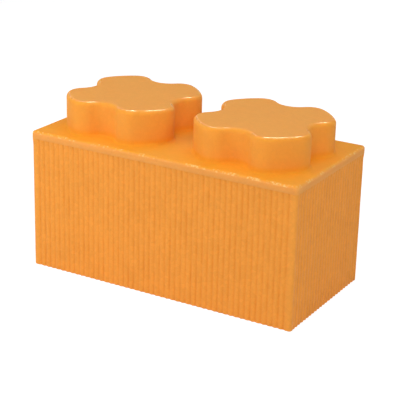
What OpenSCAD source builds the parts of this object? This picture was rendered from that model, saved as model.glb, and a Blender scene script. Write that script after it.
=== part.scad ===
// Giant building block of moulded bead foam.
// A ribbed body with open cells is closed by a smooth lid that carries four-lobed studs.
// X runs along the block, the front faces -Y, Z is up, and the origin is the middle of the base.

/* [Block] */
// Spacing of the studs, which is also the width of the block
cell = 150; // [140:1:200]
// Studs in a row along the block
stud_count = 2; // [1:1:4]
// Height of the deck above the floor
deck_h = 145; // [100:1:220]

/* [Rim] */
// Height of the smooth rim band, which is the edge of the lid
rim_h = 8; // [5:0.5:16]
// Rounding along the top edge of the rim
rim_edge_r = 3; // [1:0.5:6]
// How much wider the four upright corners are rounded than the top edge
corner_extra = 0.5; // [0.5:0.5:5]
// How far the rim stands out past the ribs
rim_proud = 0.5; // [0.2:0.1:1.5]

/* [Ribs] */
// Spacing of the grooves between the ribs
rib_pitch = 6; // [5:0.5:12]
// Width of a groove at the wall's face
groove_w = 4.4; // [2:0.1:4.8]
// Depth of a groove
groove_depth = 1; // [0.4:0.1:1.8]

/* [Studs] */
// Height of a stud above the deck
stud_h = 35; // [20:1:60]
// Distance from a side of the block in to the nearest stud
stud_inset = 13.8; // [12:0.1:24]
// Radius of a lobe's two rounded shoulders
shoulder_r = 18; // [16:0.5:24]
// Rounding of a stud's top edge
crown_r = 5; // [2:0.5:8]
// Hollow fillet at a stud's foot
foot_r = 3; // [1:0.5:3.5]

/* [Inside] */
// Foam thickness over the hollow core of a stud
stud_wall = 14; // [10:0.5:18]
// Depth of the spigots that locate the lid in the cells
spigot_h = 10; // [5:1:20]
// Gap all round a spigot in its cell
spigot_gap = 0.3; // [0.1:0.1:0.6]
// Gap all round a stud in the cell of the next block
socket_gap = 0.5; // [0.2:0.1:1.5]
// Chamfer that leads a stud into the mouth of a cell
mouth_chamfer = 3; // [1:0.5:3.5]

/* [Hidden] */
foam_colour = "#f0963c";
$fn = 96;

// Overall plan and levels
length = cell * stud_count;
width = cell;
seat_z = deck_h - rim_h;
corner_r = rim_edge_r + corner_extra;
stud_xs = [for (i = [0 : stud_count - 1]) (i - (stud_count - 1) / 2) * cell];

// Ribs: each groove is cut by a circle through its two lips and its bottom
groove_r = (pow(groove_w / 2, 2) + pow(groove_depth, 2)) / (2 * groove_depth);
grooves_per_cell = floor(cell / rib_pitch) - 1;

// Stud outline: a disc with four hollow notches on X and Y, which leave four broad lobes on the diagonals.
// Each arc runs smoothly into the next. The centres of the arcs are the corners of 28-45-53 and 20-21-29
// triangles, so the distances between them are exact
shoulder_x = cell / 2 - stud_inset - shoulder_r;
shoulder_y = shoulder_x * 28 / 45;
shoulder = [shoulder_x, shoulder_y];
notch = [shoulder_x + shoulder_y * 20 / 21, 0];
stud_r = norm(shoulder) + shoulder_r;
notch_r = norm(notch - shoulder) - shoulder_r;

// Overlap that makes cuts and joined solids run into each other
bite = 1;

// Copies of one quarter of a stud, turned round its axis
module four_quarters() {
    for (turn = [0 : 90 : 270]) rotate(turn) children();
}

// The two mirrored shoulders of the lobe in the first quarter
module both_shoulders() {
    children();
    mirror([1, -1]) children();
}

// Sectors of the first quarter: a lobe's end, one shoulder and one notch, each from the centre of its arc
module end_sector() polygon([[0, 0], 2 * shoulder, 2 * [shoulder_y, shoulder_x]]);
module shoulder_sector() polygon([shoulder, 2 * notch - shoulder, [2 * notch.x, shoulder_y], 2 * shoulder]);
module notch_sector() polygon([notch, shoulder, [shoulder_x, -shoulder_y]]);

// Stud outline as a flat shape, grown outwards by a given amount
module stud_outline(grow = 0) {
    four_quarters() {
        intersection() {
            circle(stud_r + grow);
            end_sector();
        }
        both_shoulders() translate(shoulder) circle(shoulder_r + grow);
        difference() {
            polygon([[0, 0], [shoulder_x, -shoulder_y], notch, shoulder]);
            translate(notch) circle(notch_r - grow);
        }
    }
}

// Cuts a turned piece down to its sector
module in_sector() {
    intersection() {
        children(0);
        translate([0, 0, -bite]) linear_extrude(stud_h + 2 * bite) children(1);
    }
}

// Carries a flat section round the stud outline: its x points out of the stud's side and its y points up
module round_stud() {
    four_quarters() {
        in_sector() {
            rotate_extrude() translate([stud_r, 0]) children();
            end_sector();
        }
        both_shoulders() in_sector() {
            translate(shoulder) rotate_extrude() translate([shoulder_r, 0]) children();
            shoulder_sector();
        }
        in_sector() {
            translate(notch) rotate_extrude() translate([notch_r, 0]) mirror([1, 0]) children();
            notch_sector();
        }
    }
}

// Section of what is cut away to round an edge at the origin, with the solid below it and to its left
module edge_cutter(r) {
    difference() {
        translate([-r, -r]) square(r + bite);
        translate([-r, -r]) circle(r);
    }
}

// Rectangle in plan with rounded corners
module rounded_plan(x, y, r) {
    square([x - 2 * r, y], center = true);
    square([x, y - 2 * r], center = true);
    for (sx = [-1, 1], sy = [-1, 1]) translate([sx * (x / 2 - r), sy * (y / 2 - r)]) circle(r);
}

// One row of groove circles along a wall that faces -Y
module groove_row(wall_y, count) {
    for (i = [0 : count - 1])
        translate([(i - (count - 1) / 2) * rib_pitch, wall_y - groove_r + groove_depth]) circle(groove_r);
}

// Plan of the fluted walls
module ribbed_plan() {
    x = length - 2 * rim_proud;
    y = width - 2 * rim_proud;
    difference() {
        rounded_plan(x, y, corner_r - rim_proud);
        for (turn = [0, 180]) rotate(turn) {
            groove_row(-y / 2, grooves_per_cell * stud_count);
            rotate(90) groove_row(-x / 2, grooves_per_cell);
        }
    }
}

// One open cell: the outline of a stud plus its gap, with a chamfered mouth
module cell_cutter() {
    translate([0, 0, -bite]) linear_extrude(seat_z + 2 * bite) stud_outline(socket_gap);
    round_stud() translate([socket_gap, 0]) polygon([
        [-bite, -bite],
        [mouth_chamfer + bite, -bite],
        [-bite, mouth_chamfer + bite]
    ]);
}

// Fluted walls round open cells that take the studs of the block below
module ribbed_body() {
    color(foam_colour) difference() {
        linear_extrude(seat_z) ribbed_plan();
        for (x = stud_xs) translate([x, 0, 0]) cell_cutter();
    }
}

// Cuts the rounded edge of the deck along one straight side that faces -Y
module side_edge(side_length, side_y) {
    translate([0, side_y, rim_h]) rotate([90, 0, -90])
        linear_extrude(side_length - 2 * corner_r, center = true) edge_cutter(rim_edge_r);
}

// Deck slab, whose side is the rim band, with its top edge rounded all the way round
module deck_slab() {
    difference() {
        linear_extrude(rim_h) rounded_plan(length, width, corner_r);
        for (turn = [0, 180]) rotate(turn) side_edge(length, -width / 2);
        for (turn = [90, 270]) rotate(turn) side_edge(width, -length / 2);
        for (sx = [-1, 1], sy = [-1, 1])
            translate([sx * (length / 2 - corner_r), sy * (width / 2 - corner_r), rim_h])
                rotate_extrude(angle = 90, start = atan2(sy, sx) - 45)
                    translate([corner_r, 0]) edge_cutter(rim_edge_r);
    }
}

// Section of a stud's side: rounded crown, upright face at x = 0 and hollow fillet on the deck at y = 0
module stud_side() {
    difference() {
        translate([-crown_r - bite, -bite]) square([crown_r + foot_r + bite, stud_h + bite]);
        translate([0, stud_h]) edge_cutter(crown_r);
        translate([0, foot_r]) square([foot_r + bite, stud_h]);
        translate([foot_r, foot_r]) circle(foot_r);
    }
}

// One solid stud, standing on the deck and a little into it
module stud() {
    translate([0, 0, -bite]) linear_extrude(stud_h + bite) stud_outline(-crown_r);
    round_stud() stud_side();
}

// Deck, rim band and cored studs, with spigots that drop into the cells
module stud_lid() {
    core_h = spigot_h + rim_h + stud_h - stud_wall;
    color(foam_colour) translate([0, 0, seat_z]) difference() {
        union() {
            deck_slab();
            for (x = stud_xs) translate([x, 0, rim_h]) stud();
            for (x = stud_xs) translate([x, 0, -spigot_h])
                linear_extrude(spigot_h + bite) stud_outline(socket_gap - spigot_gap);
        }
        for (x = stud_xs) translate([x, 0, -spigot_h - bite])
            linear_extrude(core_h + bite) stud_outline(-stud_wall);
    }
}

ribbed_body();
stud_lid();
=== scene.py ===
# %% [markdown]
# Giant building block
# A big play block moulded from foam beads: upright ribs on its walls, a smooth rim, and two clover-shaped
# studs on the deck that plug into the sockets under another block.
# The solids already give every size. This script loads them as a frame, then makes a finer skin for each
# of the two mouldings, because soft ribs and foam beads are easier to make in a mesh than in exact solids.
# Sizes that a solid's box cannot tell, such as a rounding or a gap, are repeated here in millimetres.

# %% Load the frame
import math

import bmesh
import bpy
from mathutils import Matrix, Vector


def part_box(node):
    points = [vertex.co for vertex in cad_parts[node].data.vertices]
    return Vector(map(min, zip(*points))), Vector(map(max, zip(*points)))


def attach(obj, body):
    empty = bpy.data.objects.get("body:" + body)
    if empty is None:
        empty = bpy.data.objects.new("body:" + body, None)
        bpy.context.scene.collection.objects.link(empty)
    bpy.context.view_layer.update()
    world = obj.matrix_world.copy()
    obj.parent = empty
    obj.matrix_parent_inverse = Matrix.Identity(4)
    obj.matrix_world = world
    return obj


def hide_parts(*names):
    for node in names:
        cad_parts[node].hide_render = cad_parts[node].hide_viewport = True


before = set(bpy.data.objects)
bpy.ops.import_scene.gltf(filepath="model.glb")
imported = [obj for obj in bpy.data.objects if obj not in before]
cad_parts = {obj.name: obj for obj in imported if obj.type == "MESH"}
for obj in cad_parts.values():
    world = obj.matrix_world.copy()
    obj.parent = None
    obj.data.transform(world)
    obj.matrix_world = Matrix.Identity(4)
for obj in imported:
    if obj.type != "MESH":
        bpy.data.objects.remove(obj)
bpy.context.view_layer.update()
body_low, body_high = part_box("ribbed_body")
lid_low, lid_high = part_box("stud_lid")
scene = bpy.context.scene
scene.view_settings.view_transform = "Standard"
print("ribbed body", tuple(body_low), tuple(body_high))
print("stud lid", tuple(lid_low), tuple(lid_high))

# %% [markdown]
# The camera
# The block is seen from above its front right corner, through a long lens, and the camera leans a little
# to one side. A place, an aim point and a roll say all of this, so the camera's axes are worked out from
# angles and set as one matrix, with no tracking constraint that another view would have to undo.

# %% Place the camera
MM = 0.001
VIEW_AZIMUTH = math.radians(30.025)
VIEW_HEIGHT = math.radians(20.303)
VIEW_ROLL = math.radians(1.444)
VIEW_DISTANCE = 1373.3 * MM
AIM = Vector((0.0, 0.0, 72.5 * MM))
ASIDE, ALOFT = 4.32 * MM, 5.87 * MM
# Blender takes these two in millimetres
LENS_LENGTH, SENSOR_WIDTH = 121.51, 36.0

back = Vector((math.sin(VIEW_AZIMUTH) * math.cos(VIEW_HEIGHT),
               -math.cos(VIEW_AZIMUTH) * math.cos(VIEW_HEIGHT),
               math.sin(VIEW_HEIGHT)))
level = Vector((math.cos(VIEW_AZIMUTH), math.sin(VIEW_AZIMUTH), 0.0))
upright = back.cross(level)
right = math.cos(VIEW_ROLL) * level + math.sin(VIEW_ROLL) * upright
up = math.cos(VIEW_ROLL) * upright - math.sin(VIEW_ROLL) * level

lens = bpy.data.cameras.new("photo_lens")
lens.lens = LENS_LENGTH
lens.sensor_width = SENSOR_WIDTH
camera = bpy.data.objects.new("photo_camera", lens)
scene.collection.objects.link(camera)
turn = Matrix((right, up, back)).transposed().to_4x4()
stand = AIM + back * VIEW_DISTANCE + right * ASIDE + up * ALOFT
camera.matrix_world = Matrix.Translation(stand) @ turn
scene.camera = camera
print("camera at", [round(v, 4) for v in stand])

# %% [markdown]
# One helper for nodes, one for colour
# Materials and rib patterns are both node trees, and both are easier to read when a node, its settings and
# its links are one call. Colours are written as the hex values seen on a screen, and Blender works in
# linear light, so one function turns the first into the second.


# %% Node and colour helpers
def add(tree, kind, inputs=None, **settings):
    """Adds a node with its settings; an input is given a value, or is linked when it is given a socket."""
    node = tree.nodes.new(kind)
    for name, value in settings.items():
        setattr(node, name, value)
    for key, value in (inputs or {}).items():
        if isinstance(value, bpy.types.NodeSocket):
            tree.links.new(value, node.inputs[key])
        else:
            node.inputs[key].default_value = value
    return node


def linear(hex_colour):
    """Linear red, green, blue and alpha of an sRGB hex colour."""
    parts = [int(hex_colour[i:i + 2], 16) / 255 for i in (1, 3, 5)]
    return tuple(c / 12.92 if c <= 0.04045 else ((c + 0.055) / 1.055) ** 2.4 for c in parts) + (1.0,)


print("white in linear light", linear("#FFFFFF"))

# %% [markdown]
# The ribbed skin
# On the ribbed moulding a painted shade deepens the colour in the bottom of each groove.
# The rib tree further down writes how deep in a groove each point lies, so the colour follows the shape
# itself, and a noise stretched along the ribs makes it stronger in some patches and fainter in others.

# %% Finish of the ribbed skin
GROOVE_PATCH = (9, 9, 22)  # width, width and height of a patch, in millimetres
GROOVE_NOISE = (0.3, 0.7)  # levels of the noise at which a groove is faint and strong
GROOVE_FAINT, GROOVE_STRONG = 0.2, 1.0
# Painted shade: this colour is multiplied into the bottom of each groove
GROOVE_SHADE = "#F4E6CC"


def shaded_grooves(tree, place, tint, sheen):
    """Ribbed skin: painted shade, a deeper orange along the bottom of each groove, in patches."""
    groove = add(tree, "ShaderNodeAttribute", attribute_name="groove").outputs["Fac"]
    bottom = add(tree, "ShaderNodeMath", {0: groove, 1: groove}, operation="MULTIPLY").outputs[0]
    scale = tuple(1 / (size * MM) for size in GROOVE_PATCH)
    spread = add(tree, "ShaderNodeMapping", {"Vector": place, "Scale": scale}).outputs[0]
    patch = add(tree, "ShaderNodeTexNoise", {"Vector": spread, "Scale": 1.0, "Detail": 2.0}).outputs["Fac"]
    strength = add(tree, "ShaderNodeMapRange", {
        "Value": patch, "From Min": GROOVE_NOISE[0], "From Max": GROOVE_NOISE[1],
        "To Min": GROOVE_FAINT, "To Max": GROOVE_STRONG}).outputs[0]
    groove_shade = add(tree, "ShaderNodeMath", {0: bottom, 1: strength}, operation="MULTIPLY").outputs[0]
    # Painted shade in the groove bottoms
    tint = add(tree, "ShaderNodeMix", {"Factor": groove_shade, 6: tint, 7: linear(GROOVE_SHADE)},
               data_type="RGBA", blend_type="MULTIPLY").outputs[2]
    return {"Base Color": tint, "Roughness": sheen}


print("groove patches in mm", GROOVE_PATCH)

# %% [markdown]
# The handled skin
# The smooth moulding is the one that gets handled, and hands polish the crowns of the lobes. A pale painted
# sheen, a painted reflection of the white room, lies on the tops and sides of its studs and on the rim side,
# and painted glints of single beads lie along the top edge of the rim. All of that happens at known heights,
# so bands of height carry it, which needs no image masks.

# %% Bands of height
# Each band runs from one height to another, with a soft edge beyond both, all in millimetres
STUD_TOPS = (179.7, 181.0, 0.5)
CROWN_EDGES = (178.9, 179.8, 0.12)
STUD_SIDES = (152.0, 176.0, 4.0)
DECK_FACE = (144.8, 146.0, 0.2)
RIM_TOP_EDGE = (142.8, 144.7, 0.3)
RIM_SIDE = (136.0, 143.0, 1.5)


def height_band(tree, height, low, high, soft):
    """One between two heights, and nought beyond a soft edge, all in millimetres."""
    rise = add(tree, "ShaderNodeMapRange", {
        "Value": height, "From Min": (low - soft) * MM, "From Max": low * MM}).outputs[0]
    fall = add(tree, "ShaderNodeMapRange", {
        "Value": height, "From Min": high * MM, "From Max": (high + soft) * MM,
        "To Min": 1.0, "To Max": 0.0}).outputs[0]
    return add(tree, "ShaderNodeMath", {0: rise, 1: fall}, operation="MULTIPLY").outputs[0]


print("crown edges polished from", CROWN_EDGES[0], "to", CROWN_EDGES[1], "mm")

# %% [markdown]
# Painted sheen and glints
# The painted sheen is only a little paler, so each band takes a small share of one pale colour. The painted
# glints are the cells of a Voronoi pattern: each cell brings a random colour of its own, which decides by
# chance whether that bead glints, and a slow noise gathers the glints in clusters.

# %% Painted sheen and glints
# Painted sheen: a pale colour that stands in for the white room's reflection
PAINTED_SHEEN_COLOUR = "#FFD8EC"
# Each band of painted sheen, and its share of the pale colour
PAINTED_SHEEN_SHARES = ((STUD_TOPS, 0.055), (RIM_SIDE, 0.074), (STUD_SIDES, 0.032))
GLINT_BEAD, GLINT_CLUSTER = 2, 14  # sizes in millimetres
GLINT_DOT = (0.35, 0.75)  # a painted glint fades out between these shares of a bead
# Painted highlight: the colour of the glints along the rim's top edge
GLINT_COLOUR = "#FFCE84"
DRAW_SHARE = 0.5  # how much a bead's own draw counts beside its cluster
GLINT_FROM, GLINT_MOST = 0.8, 0.8  # chance from which a bead glints, and how strongly it glints


def painted_sheen(tree, height, tint):
    """Colour of the skin with a pale painted sheen on the studs and the rim side."""
    pale = 0.0
    for band, share in PAINTED_SHEEN_SHARES:
        sheen_band = height_band(tree, height, *band)
        pale = add(tree, "ShaderNodeMath", {0: sheen_band, 1: share, 2: pale},
                   operation="MULTIPLY_ADD").outputs[0]
    # Painted sheen: the pale colour is mixed in by each band's share
    return add(tree, "ShaderNodeMix", {"Factor": pale, 6: tint, 7: linear(PAINTED_SHEEN_COLOUR)},
               data_type="RGBA").outputs[2]


def painted_glints(tree, place, height, tint):
    """Colour of the skin with painted glints of single beads along the top edge of the rim, in clusters."""
    beads = add(tree, "ShaderNodeTexVoronoi", {"Vector": place, "Scale": 1 / (GLINT_BEAD * MM)}, feature="F1")
    dot = add(tree, "ShaderNodeMapRange", {
        "Value": beads.outputs["Distance"], "From Min": GLINT_DOT[0], "From Max": GLINT_DOT[1],
        "To Min": 1.0, "To Max": 0.0}).outputs[0]
    draw = add(tree, "ShaderNodeSeparateColor", {"Color": beads.outputs["Color"]}).outputs["Red"]
    cluster = add(tree, "ShaderNodeTexNoise", {
        "Vector": place, "Scale": 1 / (GLINT_CLUSTER * MM), "Detail": 1.0}).outputs["Fac"]
    chance = add(tree, "ShaderNodeMath", {0: draw, 1: DRAW_SHARE, 2: cluster},
                 operation="MULTIPLY_ADD").outputs[0]
    glint = add(tree, "ShaderNodeMapRange", {
        "Value": chance, "From Min": GLINT_FROM, "From Max": 1.0, "To Max": GLINT_MOST}).outputs[0]
    speck = add(tree, "ShaderNodeMath", {0: glint, 1: dot}, operation="MULTIPLY").outputs[0]
    edge = height_band(tree, height, *RIM_TOP_EDGE)
    speck = add(tree, "ShaderNodeMath", {0: speck, 1: edge}, operation="MULTIPLY").outputs[0]
    # Painted glints mixed into the colour
    return add(tree, "ShaderNodeMix", {"Factor": speck, 6: tint, 7: linear(GLINT_COLOUR)},
               data_type="RGBA").outputs[2]


print("bare beads in mm", GLINT_BEAD, "in clusters of", GLINT_CLUSTER)

# %% [markdown]
# Polish
# Where hands hold the block, its skin is worn smooth and shines. They reach the lobes and not the notches
# between them, and they grip across the block, so the crowns that face along it stay dull. Each of these is
# a mask of its own, and their product is the polish, which then only has to lower the roughness.

# %% Finish of the handled skin
CELL = 150.0  # spacing of the studs in millimetres, which is also the width of the block
POLISH_PATCH = 8  # size of a polished patch in millimetres
POLISH_NOISE = (0.3, 0.46)  # levels of the noise at which polish begins and is whole
LOBE_REACH = (49.5, 54.0)  # where the lobes begin, in millimetres from a stud's axis
GRIP_FACING = (0.17, 0.26)  # how far a crown faces across the block where polish begins and is whole
POLISHED_ROUGHNESS, DULL_ROUGHNESS = 0.24, 1.0


def crown_polish(tree, place):
    """One where hands have polished a crown: on the lobes, facing across the block, and in patches."""
    spot = add(tree, "ShaderNodeSeparateXYZ", {0: place}).outputs
    patch = add(tree, "ShaderNodeTexNoise", {
        "Vector": place, "Scale": 1 / (POLISH_PATCH * MM), "Detail": 1.0}).outputs["Fac"]
    kept = add(tree, "ShaderNodeMapRange", {
        "Value": patch, "From Min": POLISH_NOISE[0], "From Max": POLISH_NOISE[1]})
    aside = add(tree, "ShaderNodeMath", {0: spot["X"]}, operation="ABSOLUTE").outputs[0]
    aside = add(tree, "ShaderNodeMath", {0: aside, 1: CELL / 2 * MM}, operation="SUBTRACT").outputs[0]
    from_axis = add(tree, "ShaderNodeCombineXYZ", {"X": aside, "Y": spot["Y"]}).outputs[0]
    reach = add(tree, "ShaderNodeVectorMath", {0: from_axis}, operation="LENGTH").outputs["Value"]
    lobes = add(tree, "ShaderNodeMapRange", {
        "Value": reach, "From Min": LOBE_REACH[0] * MM, "From Max": LOBE_REACH[1] * MM})
    across = add(tree, "ShaderNodeAttribute", attribute_name="across").outputs["Fac"]
    gripped = add(tree, "ShaderNodeMapRange", {
        "Value": across, "From Min": GRIP_FACING[0], "From Max": GRIP_FACING[1]})
    polish = height_band(tree, spot["Z"], *CROWN_EDGES)
    for mask in (kept, lobes, gripped):
        polish = add(tree, "ShaderNodeMath", {0: polish, 1: mask.outputs[0]},
                     operation="MULTIPLY").outputs[0]
    return polish


def handled(tree, place, tint, sheen):
    """Smooth skin: a pale painted sheen, painted glints along the rim, dull flat faces and polished crowns.
    """
    height = add(tree, "ShaderNodeSeparateXYZ", {0: place}).outputs["Z"]
    # Painted sheen on the studs and rim side, then painted glints along the rim
    tint = painted_glints(tree, place, height, painted_sheen(tree, height, tint))
    deck = height_band(tree, height, *DECK_FACE)
    tops = height_band(tree, height, *STUD_TOPS)
    dull = add(tree, "ShaderNodeMath", {0: deck, 1: tops}, operation="MAXIMUM").outputs[0]
    sheen = add(tree, "ShaderNodeMapRange", {
        "Value": dull, "To Min": sheen, "To Max": DULL_ROUGHNESS}).outputs[0]
    sheen = add(tree, "ShaderNodeMapRange", {
        "Value": crown_polish(tree, place), "To Min": sheen, "To Max": POLISHED_ROUGHNESS}).outputs[0]
    return {"Base Color": tint, "Roughness": sheen}


print("polish in patches of", POLISH_PATCH, "mm")

# %% [markdown]
# The foam
# Expanded polypropylene: small closed beads, blown up with steam until they fill the mould and weld
# together. The tool leaves a thin, slightly waxy skin, on which the welds show as a net of shallow creases
# round beads of 3 to 5 mm, and no two beads take the dye quite alike. A Voronoi pattern is that net exactly:
# its cells are the beads, and the distance to a cell's edge is the depth of a crease.
# Light goes some millimetres into the smooth skin before it comes out again, which softens its shadows.

# %% Bead foam material
DYE_DRIFT, SKIN_GRAIN = 40, 1.6  # sizes in millimetres
BEAD_DYE = 0.55  # how much a single bead's dye counts beside the slow drift
DYE_RANGE = (0.3, 1.25)  # least and most dye that the two give together
WELD_WIDTH, CUSHION_WIDTH = 0.10, 0.35  # shares of a bead
GRAIN_SHARE = 0.35  # height of the grain beside that of a bead's cushion
SHEEN_SPREAD = 0.05  # how far a bead's roughness lies from the foam's own
FOAM_IOR = 1.49  # polypropylene
WAX_TINT = "#FFDB97"  # colour of the skin's soft reflections
GLOW_DEPTH = 8  # millimetres that red light travels in the foam
GLOW_SHARES = (1.0, 0.7, 0.4)  # red, green and blue


def bead_foam(name, colour, bead, crease, mottle, roughness, gloss, glow, finish):
    """Moulded bead foam; bead is the size of a bead and crease the depth of a weld, both in millimetres.

    Glow is the share of the light that goes into the foam and comes out again some millimetres away.
    """
    foam = bpy.data.materials.new(name)
    foam.use_nodes = True
    tree = foam.node_tree
    tree.nodes.clear()
    place = add(tree, "ShaderNodeTexCoord").outputs["Object"]
    net = {"Vector": place, "Scale": 1 / (bead * MM)}
    beads = add(tree, "ShaderNodeTexVoronoi", net, feature="F1").outputs["Color"]
    weld = add(tree, "ShaderNodeTexVoronoi", net, feature="DISTANCE_TO_EDGE").outputs["Distance"]
    # Dye: each bead a little lighter or darker, on a slow drift
    dye = add(tree, "ShaderNodeSeparateColor", {"Color": beads}).outputs
    drift = add(tree, "ShaderNodeTexNoise", {
        "Vector": place, "Scale": 1 / (DYE_DRIFT * MM), "Detail": 2.0}).outputs["Fac"]
    shade = add(tree, "ShaderNodeMath", {0: dye["Red"], 1: BEAD_DYE, 2: drift},
                operation="MULTIPLY_ADD").outputs[0]
    strength = add(tree, "ShaderNodeMapRange", {
        "Value": shade, "From Min": DYE_RANGE[0], "From Max": DYE_RANGE[1],
        "To Min": 1 - mottle, "To Max": 1 + mottle}).outputs[0]
    # Creases: darker in the welds
    pit = add(tree, "ShaderNodeMapRange", {
        "Value": weld, "From Min": 0.0, "From Max": WELD_WIDTH, "To Min": 1 - mottle, "To Max": 1.0},
        interpolation_type="SMOOTHSTEP").outputs[0]
    tone = add(tree, "ShaderNodeMath", {0: strength, 1: pit}, operation="MULTIPLY").outputs[0]
    tint = add(tree, "ShaderNodeVectorMath", {0: linear(colour)[:3], "Scale": tone},
               operation="SCALE").outputs[0]
    # Sheen: no two beads equally waxy
    sheen = add(tree, "ShaderNodeMapRange", {
        "Value": dye["Green"], "To Min": roughness - SHEEN_SPREAD,
        "To Max": roughness + SHEEN_SPREAD}).outputs[0]
    # Relief: beads stand up as low cushions between the welds, under a fine grain of the skin
    swell = add(tree, "ShaderNodeMapRange", {"Value": weld, "From Min": 0.0, "From Max": CUSHION_WIDTH},
                interpolation_type="SMOOTHSTEP").outputs[0]
    grain = add(tree, "ShaderNodeTexNoise", {
        "Vector": place, "Scale": 1 / (SKIN_GRAIN * MM), "Detail": 2.0}).outputs["Fac"]
    relief = add(tree, "ShaderNodeMath", {0: grain, 1: GRAIN_SHARE, 2: swell},
                 operation="MULTIPLY_ADD").outputs[0]
    bump = add(tree, "ShaderNodeBump", {
        "Height": relief, "Distance": crease * MM, "Strength": 1.0}).outputs[0]
    skin = add(tree, "ShaderNodeBsdfPrincipled", finish(tree, place, tint, sheen) | {
        "Normal": bump, "IOR": FOAM_IOR, "Specular IOR Level": gloss, "Specular Tint": linear(WAX_TINT),
        "Subsurface Weight": glow, "Subsurface Radius": GLOW_SHARES, "Subsurface Scale": GLOW_DEPTH * MM})
    add(tree, "ShaderNodeOutputMaterial", {"Surface": skin.outputs[0]})
    return foam


ribbed_foam = bead_foam("ribbed_polypropylene_foam", "#F49F42", bead=4.0, crease=0.12, mottle=0.05,
                        roughness=0.55, gloss=0.3, glow=0.0, finish=shaded_grooves)
smooth_foam = bead_foam("smooth_polypropylene_foam", "#F49E2A", bead=4.0, crease=0.04, mottle=0.025,
                        roughness=0.7, gloss=0.4, glow=0.4, finish=handled)
print("foams", ribbed_foam.name, smooth_foam.name)

# %% [markdown]
# Outlines
# Two outlines make the whole block. One is the plan, a rectangle with rounded corners. The other is the
# stud: a disc with four wide hollow notches, which leave four broad lobes with round shoulders. Every arc
# runs smoothly into the next. Both outlines are plain functions that give the same number of points whatever
# the inset, so that any two of their rings can be joined by a strip of quads. Sockets, spigots and stud
# cores are the stud outline, grown or shrunk.

# %% Outline of a stud
STUD_XS = (-CELL / 2, CELL / 2)
# Centres and radii of the arcs in a stud's first quarter, in millimetres
SHOULDER_X, SHOULDER_Y, SHOULDER_R = 43.2, 26.88, 18.0
NOTCH_X = 68.8
STUD_R = math.hypot(SHOULDER_X, SHOULDER_Y) + SHOULDER_R
NOTCH_R = math.hypot(NOTCH_X - SHOULDER_X, SHOULDER_Y) - SHOULDER_R
NOTCH_STEPS, SHOULDER_STEPS, END_STEPS = 16, 16, 12
# Cosine and sine of the four quarter turns
QUARTER_TURNS = ((1, 0), (0, 1), (-1, 0), (0, -1))


def arc(x, y, r, start, stop, steps):
    """Points of an arc from start towards stop, without its last point."""
    angles = [start + (stop - start) * i / steps for i in range(steps)]
    return [(x + r * math.cos(a), y + r * math.sin(a)) for a in angles]


def stud_outline(grow, stud_x):
    """Points round a stud outline, moved outwards by grow, with the stud's centre at stud_x."""
    lean = math.atan2(SHOULDER_Y, NOTCH_X - SHOULDER_X)
    slope = math.atan2(SHOULDER_Y, SHOULDER_X)
    square = math.pi / 2
    shoulder_r = SHOULDER_R + grow
    quarter = arc(NOTCH_X, 0, NOTCH_R - grow, math.pi + lean, math.pi - lean, NOTCH_STEPS)
    quarter += arc(SHOULDER_X, SHOULDER_Y, shoulder_r, -lean, slope, SHOULDER_STEPS)
    quarter += arc(0, 0, STUD_R + grow, slope, square - slope, END_STEPS)
    quarter += arc(SHOULDER_Y, SHOULDER_X, shoulder_r, square - slope, square + lean, SHOULDER_STEPS)
    points = []
    for c, s in QUARTER_TURNS:
        points += [(stud_x + c * x - s * y, s * x + c * y) for x, y in quarter]
    return points


print("points round a stud", len(stud_outline(0, 0)))

# %% Outline of the plan
CORNER_STEPS = 6
LEAST_END = 0.05  # least distance in millimetres from the last whole step to a straight side's end


def straight(half, step):
    """Points along a straight side from its middle outwards, at whole steps, with both ends added."""
    count = int((half - LEAST_END) / step)
    return [-half] + [i * step for i in range(-count, count + 1)] + [half]


def plan_outline(size_x, size_y, corner, step, inset):
    """Points round a rounded rectangle, moved inwards by inset, with a point every step on its sides."""
    flat_x, flat_y = size_x / 2 - corner, size_y / 2 - corner
    round_r = corner - inset
    points = []
    for c, s in QUARTER_TURNS:
        along, out = (flat_y, size_x / 2) if s == 0 else (flat_x, size_y / 2)
        side = [(out - inset, t) for t in straight(along, step)]
        for i in range(1, CORNER_STEPS):
            a = math.radians(90 / CORNER_STEPS * i)
            side.append((out - corner + round_r * math.cos(a), along + round_r * math.sin(a)))
        points += [(c * x - s * y, s * x + c * y) for x, y in side]
    return points


print("points between the ends of a rounded corner", CORNER_STEPS - 1)

# %% [markdown]
# From rings to a skin
# A ring of points at one height, strips of quads between rings, and a flat fill where a face has holes in
# it: these three moves build both mouldings. Each is a closed skin with its faces turned outwards, smooth
# over the roundings and sharp at the real edges.

# %% Ring, strips and fill
SHARP_ANGLE = math.radians(50)


def ring(bm, points, z):
    """Adds the points of an outline at one height; all in millimetres."""
    return [bm.verts.new((x * MM, y * MM, z * MM)) for x, y in points]


def strips(bm, rings):
    """Joins each ring to the next by a strip of quads."""
    for a, b in zip(rings, rings[1:]):
        for i in range(len(a)):
            bm.faces.new((a[i - 1], a[i], b[i], b[i - 1]))


def fill(bm, *loops):
    """Fills the flat face inside the first ring and round the others."""
    edges = []
    for loop in loops:
        for i in range(len(loop)):
            ends = (loop[i - 1], loop[i])
            edges.append(bm.edges.get(ends) or bm.edges.new(ends))
    bmesh.ops.triangle_fill(bm, edges=edges, use_beauty=True, use_dissolve=False)


def skin_object(bm, name):
    """Turns the faces outwards, and makes an object at the origin with smooth roundings and sharp edges."""
    bmesh.ops.recalc_face_normals(bm, faces=bm.faces)
    open_edges = sum(1 for edge in bm.edges if len(edge.link_faces) != 2)
    mesh = bpy.data.meshes.new(name)
    bm.to_mesh(mesh)
    bm.free()
    mesh.polygons.foreach_set("use_smooth", [True] * len(mesh.polygons))
    mesh.set_sharp_from_angle(angle=SHARP_ANGLE)
    piece = bpy.data.objects.new(name, mesh)
    scene.collection.objects.link(piece)
    print(name, "faces", len(mesh.polygons), "open edges", open_edges)
    return piece


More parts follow.
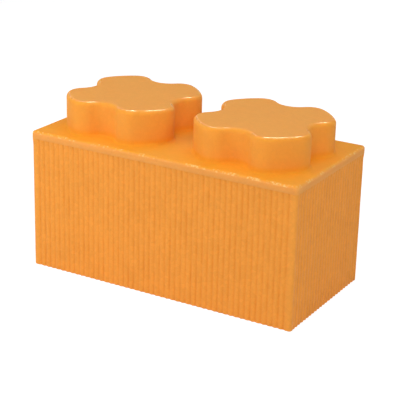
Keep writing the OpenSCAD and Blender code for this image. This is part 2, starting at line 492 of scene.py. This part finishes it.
print("edges are sharp from", round(math.degrees(SHARP_ANGLE)), "degrees")

# %% [markdown]
# The ribbed body before its ribs
# Four walls round two open sockets. The walls start flat, but with points spaced so that eight of them fall
# on each rib: the ribs are then pushed in by a rule, and nothing has to be drawn 144 times. Close below the
# rim the walls flare out by half a millimetre, so that the ribs run out flush with it and only the grooves
# end in a small step. Each socket is the stud outline plus a clearance, with a chamfered mouth for the stud
# below.

# %% Walls of the body
RIB_PITCH, POINTS_ON_RIB = 6.0, 8
BODY_CORNER, FOOT_ROUND = 3.0, 0.8
WALL_STEPS = 33
FLARE, FLARE_H, FLARE_STEPS = 0.5, 6.0, 6
EDGE_RING = 2.8  # inset of the rings at which the flat faces below and above begin
MITRE = 0.29  # inset and rise of the middle of a small rounding, as shares of its radius
body_x, body_y = (body_high.x - body_low.x) / MM, (body_high.y - body_low.y) / MM
seat_z = body_high.z / MM
body_bm = bmesh.new()


def body_ring(inset, z):
    """A ring round the walls."""
    return ring(body_bm, plan_outline(body_x, body_y, BODY_CORNER, RIB_PITCH / POINTS_ON_RIB, inset), z)


wall = [body_ring(EDGE_RING, 0), body_ring(FOOT_ROUND, 0), body_ring(FOOT_ROUND * MITRE, FOOT_ROUND * MITRE)]
plain_h = seat_z - FLARE_H - FOOT_ROUND
wall += [body_ring(0, FOOT_ROUND + plain_h * i / WALL_STEPS) for i in range(WALL_STEPS)]
for i in range(FLARE_STEPS + 1):
    ease = 0.5 - 0.5 * math.cos(math.pi * i / FLARE_STEPS)
    wall.append(body_ring(-FLARE * ease, seat_z - FLARE_H * (1 - i / FLARE_STEPS)))
wall.append(body_ring(EDGE_RING, seat_z))
strips(body_bm, wall)
print("rings up the walls", len(wall))

# %% Sockets of the body
SOCKET_GAP, MOUTH_CHAMFER = 0.5, 3.0
SOCKET_HEIGHTS = (MOUTH_CHAMFER, 30, 60, 90, 115, seat_z)

mouths, ends = [], []
for stud_x in STUD_XS:
    socket = [ring(body_bm, stud_outline(SOCKET_GAP + MOUTH_CHAMFER, stud_x), 0)]
    socket += [ring(body_bm, stud_outline(SOCKET_GAP, stud_x), z) for z in SOCKET_HEIGHTS]
    strips(body_bm, socket)
    mouths.append(socket[0])
    ends.append(socket[-1])
fill(body_bm, wall[0], *mouths)
fill(body_bm, wall[-1], *ends)
body = skin_object(body_bm, "ribbed_walls")

# %% [markdown]
# The ribs
# Fine upright flutes, 6 mm apart, that stiffen the walls and give small hands a grip. A bevel on 144 cut
# grooves would be slow and stiff to change. A Geometry Nodes tree does it by a rule instead: a cosine along
# the wall pushes its points inwards, a span leaves the corners plain, and a slow noise lets the foam wander
# a little, as it does when it shrinks in the mould.

# %% Inputs of the rib tree
WANDER_NOISE = (0.25, 0.75)  # levels of the noise at which the foam wanders not at all and most

ribs = bpy.data.node_groups.new("upright_ribs", "GeometryNodeTree")
ribs.interface.new_socket("Geometry", in_out="INPUT", socket_type="NodeSocketGeometry")
for name in ("Rib pitch", "Groove depth", "Half length", "Half width", "Plain corner", "Wall skin",
             "Wander", "Wander size", "Seed"):
    ribs.interface.new_socket(name, in_out="INPUT", socket_type="NodeSocketFloat")
ribs.interface.new_socket("Foam", in_out="INPUT", socket_type="NodeSocketMaterial")
ribs.interface.new_socket("Geometry", in_out="OUTPUT", socket_type="NodeSocketGeometry")

given = add(ribs, "NodeGroupInput").outputs
position = add(ribs, "GeometryNodeInputPosition").outputs[0]
spot = add(ribs, "ShaderNodeSeparateXYZ", {0: position}).outputs
scale = add(ribs, "ShaderNodeMath", {0: 1.0, 1: given["Wander size"]}, operation="DIVIDE").outputs[0]
noise = add(ribs, "ShaderNodeTexNoise", {
    "Vector": position, "W": given["Seed"], "Scale": scale, "Detail": 1.0}, noise_dimensions="4D").outputs[0]
drift = add(ribs, "ShaderNodeMapRange", {
    "Value": noise, "From Min": WANDER_NOISE[0], "From Max": WANDER_NOISE[1]}).outputs[0]
wander = add(ribs, "ShaderNodeMath", {0: drift, 1: given["Wander"]}, operation="MULTIPLY").outputs[0]
print("rib tree inputs", [socket.name for socket in given if socket.name])


# %% Push of a pair of walls
def wall_push(along, across, half_along, half_across):
    """For the two walls across one axis: how far their points move, and how deep in a groove they lie."""
    phase = add(ribs, "ShaderNodeMath", {0: along, 1: given["Rib pitch"]}, operation="DIVIDE").outputs[0]
    angle = add(ribs, "ShaderNodeMath", {0: phase, 1: math.tau}, operation="MULTIPLY").outputs[0]
    wave = add(ribs, "ShaderNodeMath", {0: angle}, operation="COSINE").outputs[0]
    groove = add(ribs, "ShaderNodeMath", {0: wave, 1: -0.5, 2: 0.5}, operation="MULTIPLY_ADD").outputs[0]
    reach = add(ribs, "ShaderNodeMath", {0: along}, operation="ABSOLUTE").outputs[0]
    span = add(ribs, "ShaderNodeMath", {0: half_along, 1: given["Plain corner"]},
               operation="SUBTRACT").outputs[0]
    inside = add(ribs, "ShaderNodeMath", {0: reach, 1: span}, operation="LESS_THAN").outputs[0]
    cut = add(ribs, "ShaderNodeMath", {0: groove, 1: inside}, operation="MULTIPLY").outputs[0]
    depth = add(ribs, "ShaderNodeMath", {0: cut, 1: given["Groove depth"], 2: wander},
                operation="MULTIPLY_ADD").outputs[0]
    # Only points within the wall's skin move, and they move inwards
    skin = add(ribs, "ShaderNodeMath", {0: half_across, 1: given["Wall skin"]},
               operation="SUBTRACT").outputs[0]
    off = add(ribs, "ShaderNodeMath", {0: across}, operation="ABSOLUTE").outputs[0]
    on_wall = add(ribs, "ShaderNodeMath", {0: off, 1: skin}, operation="GREATER_THAN").outputs[0]
    side = add(ribs, "ShaderNodeMath", {0: across}, operation="SIGN").outputs[0]
    way = add(ribs, "ShaderNodeMath", {0: side, 1: on_wall}, operation="MULTIPLY").outputs[0]
    inward = add(ribs, "ShaderNodeMath", {0: way, 1: -1.0}, operation="MULTIPLY").outputs[0]
    push = add(ribs, "ShaderNodeMath", {0: depth, 1: inward}, operation="MULTIPLY").outputs[0]
    mark = add(ribs, "ShaderNodeMath", {0: cut, 1: on_wall}, operation="MULTIPLY").outputs[0]
    return push, mark


push_y, groove_y = wall_push(spot["X"], spot["Y"], given["Half length"], given["Half width"])
push_x, groove_x = wall_push(spot["Y"], spot["X"], given["Half width"], given["Half length"])
push = add(ribs, "ShaderNodeCombineXYZ", {"X": push_x, "Y": push_y}).outputs[0]
groove = add(ribs, "ShaderNodeMath", {0: groove_x, 1: groove_y}, operation="MAXIMUM").outputs[0]
marked = add(ribs, "GeometryNodeStoreNamedAttribute", {
    "Geometry": given["Geometry"], "Name": "groove", "Value": groove}, data_type="FLOAT", domain="POINT")
fluted = add(ribs, "GeometryNodeSetPosition", {"Geometry": marked.outputs[0], "Offset": push})
real = add(ribs, "GeometryNodeRealizeInstances", {"Geometry": fluted.outputs[0]})
dressed = add(ribs, "GeometryNodeSetMaterial", {"Geometry": real.outputs[0], "Material": given["Foam"]})
add(ribs, "NodeGroupOutput", {0: dressed.outputs[0]})
print("rib tree nodes", len(ribs.nodes))

# %% [markdown]
# Pressing the ribs
# The tree's sizes are set on the modifier, each by its socket's identifier, because two sockets may share a
# name. The result then becomes a plain mesh and the modifier goes.

# %% Press the ribs into the walls
# Sizes in millimetres, and a fixed seed
GROOVE_DEPTH, PLAIN_CORNER, WALL_SKIN = 1.0, 5.5, 1.2
WANDER, WANDER_SIZE, WANDER_SEED = 0.15, 14, 7.0
rib_sizes = {
    "Rib pitch": RIB_PITCH * MM, "Groove depth": GROOVE_DEPTH * MM, "Plain corner": PLAIN_CORNER * MM,
    "Half length": body_x / 2 * MM, "Half width": body_y / 2 * MM, "Wall skin": WALL_SKIN * MM,
    "Wander": WANDER * MM, "Wander size": WANDER_SIZE * MM, "Seed": WANDER_SEED, "Foam": ribbed_foam,
}
modifier = body.modifiers.new("upright_ribs", "NODES")
modifier.node_group = ribs
for item in ribs.interface.items_tree:
    if item.in_out == "INPUT" and item.name in rib_sizes:
        modifier[item.identifier] = rib_sizes[item.name]
graph = bpy.context.evaluated_depsgraph_get()
fluted_mesh = bpy.data.meshes.new_from_object(body.evaluated_get(graph), depsgraph=graph)
body.modifiers.clear()
flat_mesh, body.data = body.data, fluted_mesh
bpy.data.meshes.remove(flat_mesh)
body.data.name = "ribbed_walls"
print("ribbed body triangles", sum(len(p.vertices) - 2 for p in body.data.polygons))

# %% [markdown]
# The stud lid
# The smooth half of the block: a deck whose edge is the rim band, two studs with rounded crowns and soft
# feet, and a hollow spigot below each stud that plugs into its socket. Revolved or bevelled primitives
# cannot follow the clover outline, but rings of it can: a crown, a wall and a foot are the same outline at
# other heights and insets. A narrow flat ring next to each rounding keeps the shading of the faces flat.

# %% Rim of the lid
RIM_H, RIM_EDGE, RIM_UNDER = 8.0, 3.0, 0.2
LID_CORNER, LID_STEP = 3.5, 3.0
ROUND_STEPS = 8
DECK_RING, UNDER_RING = 0.4, 1.0  # widths of the flat rings inside the rim, above and below
lid_x, lid_y = (lid_high.x - lid_low.x) / MM, (lid_high.y - lid_low.y) / MM
deck_z, top_z = seat_z + RIM_H, lid_high.z / MM
quarter_turn = [math.radians(90 * i / ROUND_STEPS) for i in range(ROUND_STEPS + 1)]
lid_bm = bmesh.new()


def lid_ring(inset, z):
    """A ring round the edge of the lid."""
    return ring(lid_bm, plan_outline(lid_x, lid_y, LID_CORNER, LID_STEP, inset), z)


rim = [lid_ring(RIM_EDGE + DECK_RING, deck_z)]
for a in quarter_turn:
    rim.append(lid_ring(RIM_EDGE * (1 - math.sin(a)), deck_z - RIM_EDGE * (1 - math.cos(a))))
rim += [lid_ring(0, seat_z + RIM_UNDER), lid_ring(RIM_UNDER * MITRE, seat_z + RIM_UNDER * MITRE)]
rim += [lid_ring(RIM_UNDER, seat_z), lid_ring(RIM_UNDER + UNDER_RING, seat_z)]
strips(lid_bm, rim)
print("rings round the rim", len(rim))

# %% Studs and spigots of the lid
STUD_H, CROWN, FOOT = 35.0, 5.0, 3.0
SIDE_STEPS = 5
TOP_RING, FOOT_RING = 1.0, 0.6  # widths of the flat rings inside a crown and outside a foot
SPIGOT_GROW, SPIGOT_H, STUD_WALL = 0.2, 10.0, 14.0
side_h = STUD_H - CROWN - FOOT
spigot_z = seat_z - SPIGOT_H


def stud_ring(grow, stud_x, z):
    """A ring round a stud, its spigot or its core."""
    return ring(lid_bm, stud_outline(grow, stud_x), z)


feet, spigots = [], []
for stud_x in STUD_XS:
    stud = [stud_ring(-CROWN - TOP_RING, stud_x, top_z)]
    for a in quarter_turn:
        stud.append(stud_ring(CROWN * (math.sin(a) - 1), stud_x, top_z - CROWN * (1 - math.cos(a))))
    for i in range(1, SIDE_STEPS):
        stud.append(stud_ring(0, stud_x, top_z - CROWN - side_h * i / SIDE_STEPS))
    for a in quarter_turn:
        stud.append(stud_ring(FOOT * (1 - math.cos(a)), stud_x, deck_z + FOOT * (1 - math.sin(a))))
    stud.append(stud_ring(FOOT + FOOT_RING, stud_x, deck_z))
    strips(lid_bm, stud)
    fill(lid_bm, stud[0])
    feet.append(stud[-1])
    core = [stud_ring(SPIGOT_GROW, stud_x, z) for z in (seat_z, spigot_z)]
    core += [stud_ring(-STUD_WALL, stud_x, z) for z in (spigot_z, seat_z, top_z - STUD_WALL)]
    strips(lid_bm, core)
    fill(lid_bm, core[-1])
    spigots.append(core[0])
fill(lid_bm, rim[0], *feet)
fill(lid_bm, rim[-1], *spigots)
lid = skin_object(lid_bm, "studded_top")
lid.data.materials.append(smooth_foam)

# %% [markdown]
# Which way the skin faces
# The polish on the crowns depends on how far they face across the block. The mesh knows this from its
# normals, so the share is written once to each point, where the material reads it by name.

# %% Write the facing
across = lid.data.attributes.new("across", "FLOAT", "POINT")
across.data.foreach_set("value", [abs(normal.vector.y) for normal in lid.data.vertex_normals])
print("points with a facing", len(across.data))

# %% [markdown]
# Standing in for the solids
# Each skin takes the place of its own solid and moves with the block's one body. The solids stay hidden
# under them, where they still carry the collision shapes.

# %% Ride and replace
for piece, node, slot in ((body, "ribbed_body", "ribbed_foam"), (lid, "stud_lid", "smooth_foam")):
    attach(piece, "root")
    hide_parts(node)
    print(piece.name, "stands for", node)

# %% [markdown]
# The white room
# A white sweep, whose whiteness adds no light to the block. The world and the floor are white to the eye and
# in reflections, and only a plain level to everything else, and the floor still takes the block's shadow.

# %% World
ROOM_LIGHT, ROOM_WHITE = 0.2, 1.0
WHITE = linear("#FFFFFF")


def seen_rays(tree):
    """One for rays that the eye follows, straight or through reflections and glass, and nought for light."""
    path = add(tree, "ShaderNodeLightPath").outputs
    seen = path["Is Camera Ray"]
    for kind in ("Is Glossy Ray", "Is Transmission Ray"):
        seen = add(tree, "ShaderNodeMath", {0: seen, 1: path[kind]}, operation="MAXIMUM").outputs[0]
    return seen


world = bpy.data.worlds.new("white_room")
scene.world = world
world.use_nodes = True
room = world.node_tree
room.nodes.clear()
plain = add(room, "ShaderNodeBackground", {"Color": WHITE, "Strength": ROOM_LIGHT}).outputs[0]
white = add(room, "ShaderNodeBackground", {"Color": WHITE, "Strength": ROOM_WHITE}).outputs[0]
sky = add(room, "ShaderNodeMixShader", {0: seen_rays(room), 1: plain, 2: white})
add(room, "ShaderNodeOutputWorld", {"Surface": sky.outputs[0]})
print("room lights the block at", ROOM_LIGHT)

# %% Floor
PAPER_GREY, VEIL_GREY = (0.85, 0.85, 0.85, 1.0), (0.4, 0.4, 0.4, 1.0)
PAPER_WHITE = 0.82  # level of the even white, to which the lit veil adds the rest
FLOOR_HALF, FLOOR_CELLS = 12.0, 4  # half the floor's side in metres, and the faces along it

paper = bpy.data.materials.new("white_paper_sweep")
paper.use_nodes = True
tree = paper.node_tree
tree.nodes.clear()
sheet = add(tree, "ShaderNodeBsdfDiffuse", {"Color": PAPER_GREY}).outputs[0]
# To the eye the paper is a thin veil of shadow over an even white
veil = add(tree, "ShaderNodeBsdfDiffuse", {"Color": VEIL_GREY}).outputs[0]
shine = add(tree, "ShaderNodeEmission", {"Color": WHITE, "Strength": PAPER_WHITE}).outputs[0]
lit = add(tree, "ShaderNodeAddShader", {0: veil, 1: shine}).outputs[0]
both = add(tree, "ShaderNodeMixShader", {0: seen_rays(tree), 1: sheet, 2: lit})
add(tree, "ShaderNodeOutputMaterial", {"Surface": both.outputs[0]})

floor_bm = bmesh.new()
bmesh.ops.create_grid(floor_bm, x_segments=FLOOR_CELLS, y_segments=FLOOR_CELLS, size=FLOOR_HALF)
floor_mesh = bpy.data.meshes.new("paper_sweep")
floor_bm.to_mesh(floor_mesh)
floor_bm.free()
floor_mesh.materials.append(paper)
floor = bpy.data.objects.new("paper_sweep", floor_mesh)
scene.collection.objects.link(floor)
print("floor at", body_low.z)

# %% [markdown]
# The lamps
# Soft boxes at the front right, low at the front left, at the right and overhead set the level of each face.
# A strip high behind the block lights reflections alone: it draws the bright lines on the crowns without a
# shadow of its own. A fill behind the block does the opposite, and keeps the back walls readable without
# glare on the stud tops.


# %% Lamps
def soft_box(name, place, aim, size, watts):
    """A rectangular lamp at a place, facing an aim point; place, aim and size are in metres."""
    light = bpy.data.lights.new(name, "AREA")
    light.shape = "RECTANGLE"
    light.size, light.size_y = size
    light.energy = watts
    lamp = bpy.data.objects.new(name, light)
    lamp.visible_camera = False
    scene.collection.objects.link(lamp)
    stand = Vector(place)
    facing = (stand - Vector(aim)).to_track_quat("Z", "Y").to_matrix().to_4x4()
    lamp.matrix_world = Matrix.Translation(stand) @ facing
    print(name, "at", place)
    return lamp


MIDDLE = (0.0, 0.0, 0.1)
soft_box("key_box", (0.92, -1.59, 1.63), aim=MIDDLE, size=(1.2, 0.8), watts=17.0)
soft_box("left_box", (-0.5, -0.64, 0.48), aim=(-0.08, -0.05, 0.09), size=(0.5, 0.5), watts=2.95)
soft_box("right_box", (1.67, -0.45, 1.09), aim=MIDDLE, size=(0.6, 0.6), watts=6.9)
soft_box("top_box", (0.0, -0.06, 1.89), aim=MIDDLE, size=(1.0, 1.0), watts=6.0)
crown_strip = soft_box("crown_strip", (-0.22, 0.87, 1.76), aim=(0.0, 0.0, 0.16), size=(1.5, 0.3), watts=76.0)
crown_strip.visible_diffuse = False
back_fill = soft_box("back_fill", (-0.3, 1.9, 0.25), aim=(0.0, 0.0, 0.08), size=(1.0, 0.4), watts=7.0)
back_fill.visible_glossy = False
